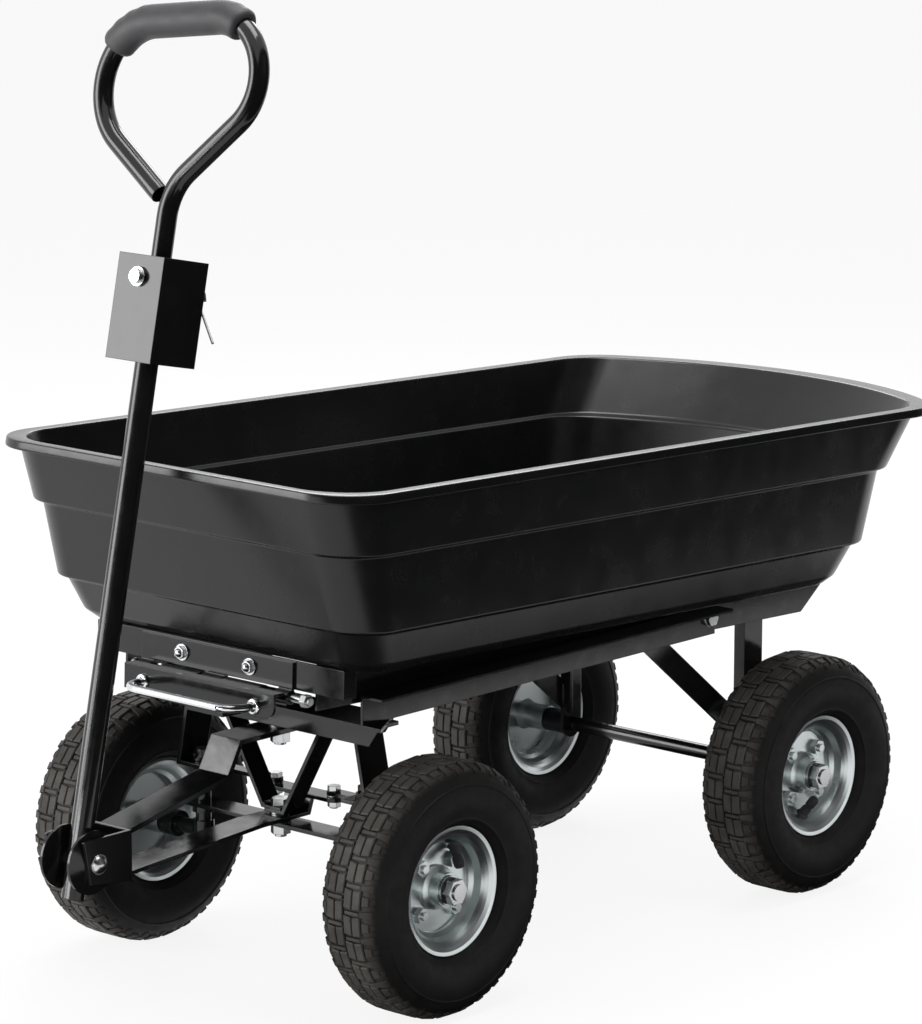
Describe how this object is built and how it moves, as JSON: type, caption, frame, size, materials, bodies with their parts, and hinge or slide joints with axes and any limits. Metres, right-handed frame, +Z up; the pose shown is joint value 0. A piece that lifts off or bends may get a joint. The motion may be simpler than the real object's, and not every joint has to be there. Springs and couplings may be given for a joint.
{
  "type": "tipping dump cart",
  "caption": "Steered four-wheel garden dump cart: moulded tub on a hinged steel bed that tips to the rear, pull handle with loop grip and tow bracket, pneumatic tyres.",
  "frame": {"origin": "middle of the bounding box on the ground under the wheels", "axes": "+X forward toward the pull handle, +Y to the cart's left, +Z up"},
  "size_m": [1.1456, 0.496, 0.981],
  "materials": {
    "tub_plastic": "semi-gloss moulded",
    "black_paint": "gloss black powder coat",
    "zinc_plate": "bright zinc plate",
    "bright_steel": "bright zinc plate",
    "chrome_plate": "polished chrome",
    "tyre_rubber": "moulded rubber",
    "pad_rubber": "moulded rubber",
    "grip_foam": "closed-cell foam"
  },
  "bodies": {
    "chassis": {"chassis_rail_l": "black_paint", "chassis_rail_r": "black_paint", "tip_bolts": "bright_steel", "front_bolster": "black_paint", "latch_catch": "black_paint", "rest_pads": "pad_rubber", "front_leg_l": "black_paint", "front_leg_r": "black_paint", "strut_l": "black_paint", "strut_r": "black_paint", "lower_crossbar": "black_paint", "tongue_bolts": "bright_steel"},
    "bed": {"tub": "tub_plastic", "tub_bolts": "bright_steel", "bed_rail_l": "black_paint", "bed_rail_r": "black_paint", "bed_front_plate": "black_paint", "bed_crossbars": "black_paint", "rear_leg_l": "black_paint", "rear_leg_r": "black_paint", "rear_brace_l": "black_paint", "rear_brace_r": "black_paint", "rear_axle": "black_paint", "rear_sleeves": "black_paint", "rear_nuts": "bright_steel", "latch_plate": "black_paint", "latch_bolts": "bright_steel", "latch_rod": "bright_steel"},
    "latch": {"latch_lever": "black_paint", "pull_handle": "chrome_plate"},
    "knuckle_l": {"knuckle_l": "black_paint", "front_nut_l": "bright_steel"},
    "knuckle_r": {"knuckle_r": "black_paint", "front_nut_r": "bright_steel"},
    "tie_rod_l": {"tie_rod_l": "black_paint"},
    "tie_rod_r": {"tie_rod_r": "black_paint"},
    "tongue": {"tie_bolts": "bright_steel", "tongue_upper": "black_paint", "tongue_lower": "black_paint", "fork": "black_paint", "pivot_discs": "black_paint", "fork_bolt": "bright_steel"},
    "handle": {"handle_tube": "black_paint", "tow_bracket": "black_paint", "handle_loop": "black_paint", "grip": "grip_foam", "hitch_pin": "bright_steel"},
    "hitch_clip": {"hitch_clip": "bright_steel"},
    "wheel_fl": {"tyre_fl": "tyre_rubber", "rim_fl": "zinc_plate"},
    "wheel_fr": {"tyre_fr": "tyre_rubber", "rim_fr": "zinc_plate"},
    "wheel_rl": {"tyre_rl": "tyre_rubber", "rim_rl": "zinc_plate"},
    "wheel_rr": {"tyre_rr": "tyre_rubber", "rim_rr": "zinc_plate"}
  },
  "joints": [
    {"name": "bed_tip", "type": "hinge", "parent": "chassis", "child": "bed", "pos_m": [-0.23724, 0, 0.3], "axis": [0, -1, 0], "range_deg": [0, 60]},
    {"name": "latch_lift", "type": "hinge", "parent": "bed", "child": "latch", "pos_m": [0.35559, 0, 0.31573], "axis": [0, -1, 0], "range_deg": [0, 22]},
    {"name": "tongue_steer", "type": "hinge", "parent": "chassis", "child": "tongue", "pos_m": [0.26476, 0, 0.154], "axis": [0, 0, 1], "range_deg": [-24, 24]},
    {"name": "knuckle_l_steer", "type": "hinge", "parent": "chassis", "child": "knuckle_l", "pos_m": [0.26077, 0.112, 0.127], "axis": [0, 0, 1], "range_deg": [-27, 27]},
    {"name": "knuckle_r_steer", "type": "hinge", "parent": "chassis", "child": "knuckle_r", "pos_m": [0.26077, -0.112, 0.127], "axis": [0, 0, 1], "range_deg": [-27, 27]},
    {"name": "tie_rod_l_swing", "type": "hinge", "parent": "tongue", "child": "tie_rod_l", "pos_m": [0.22976, 0.04, 0.178], "axis": [0, 0, 1], "range_deg": [-29, 29]},
    {"name": "tie_rod_r_swing", "type": "hinge", "parent": "tongue", "child": "tie_rod_r", "pos_m": [0.22976, -0.04, 0.178], "axis": [0, 0, 1], "range_deg": [-29, 29]},
    {"name": "handle_tilt", "type": "hinge", "parent": "tongue", "child": "handle", "pos_m": [0.54177, 0, 0.175], "axis": [0, 1, 0], "range_deg": [0, 80]},
    {"name": "clip_pull", "type": "slide", "parent": "handle", "child": "hitch_clip", "axis": [-0.1682, -0.5878, 0.7913], "range_m": [0, 0.07]},
    {"name": "wheel_fl_spin", "type": "hinge", "parent": "knuckle_l", "child": "wheel_fl", "pos_m": [0.26077, 0.199, 0.127], "axis": [0, 1, 0], "continuous": true},
    {"name": "wheel_fr_spin", "type": "hinge", "parent": "knuckle_r", "child": "wheel_fr", "pos_m": [0.26077, -0.199, 0.127], "axis": [0, 1, 0], "continuous": true},
    {"name": "wheel_rl_spin", "type": "hinge", "parent": "bed", "child": "wheel_rl", "pos_m": [-0.32523, 0.19, 0.127], "axis": [0, 1, 0], "continuous": true},
    {"name": "wheel_rr_spin", "type": "hinge", "parent": "bed", "child": "wheel_rr", "pos_m": [-0.32523, -0.19, 0.127], "axis": [0, 1, 0], "continuous": true}
  ],
  "couplings": [
    {"joint": "knuckle_l_steer", "follows": "tongue_steer", "ratio": 1.098},
    {"joint": "knuckle_r_steer", "follows": "tongue_steer", "ratio": 1.098},
    {"joint": "tie_rod_l_swing", "follows": "tongue_steer", "ratio": -1.161},
    {"joint": "tie_rod_r_swing", "follows": "tongue_steer", "ratio": -1.161}
  ]
}
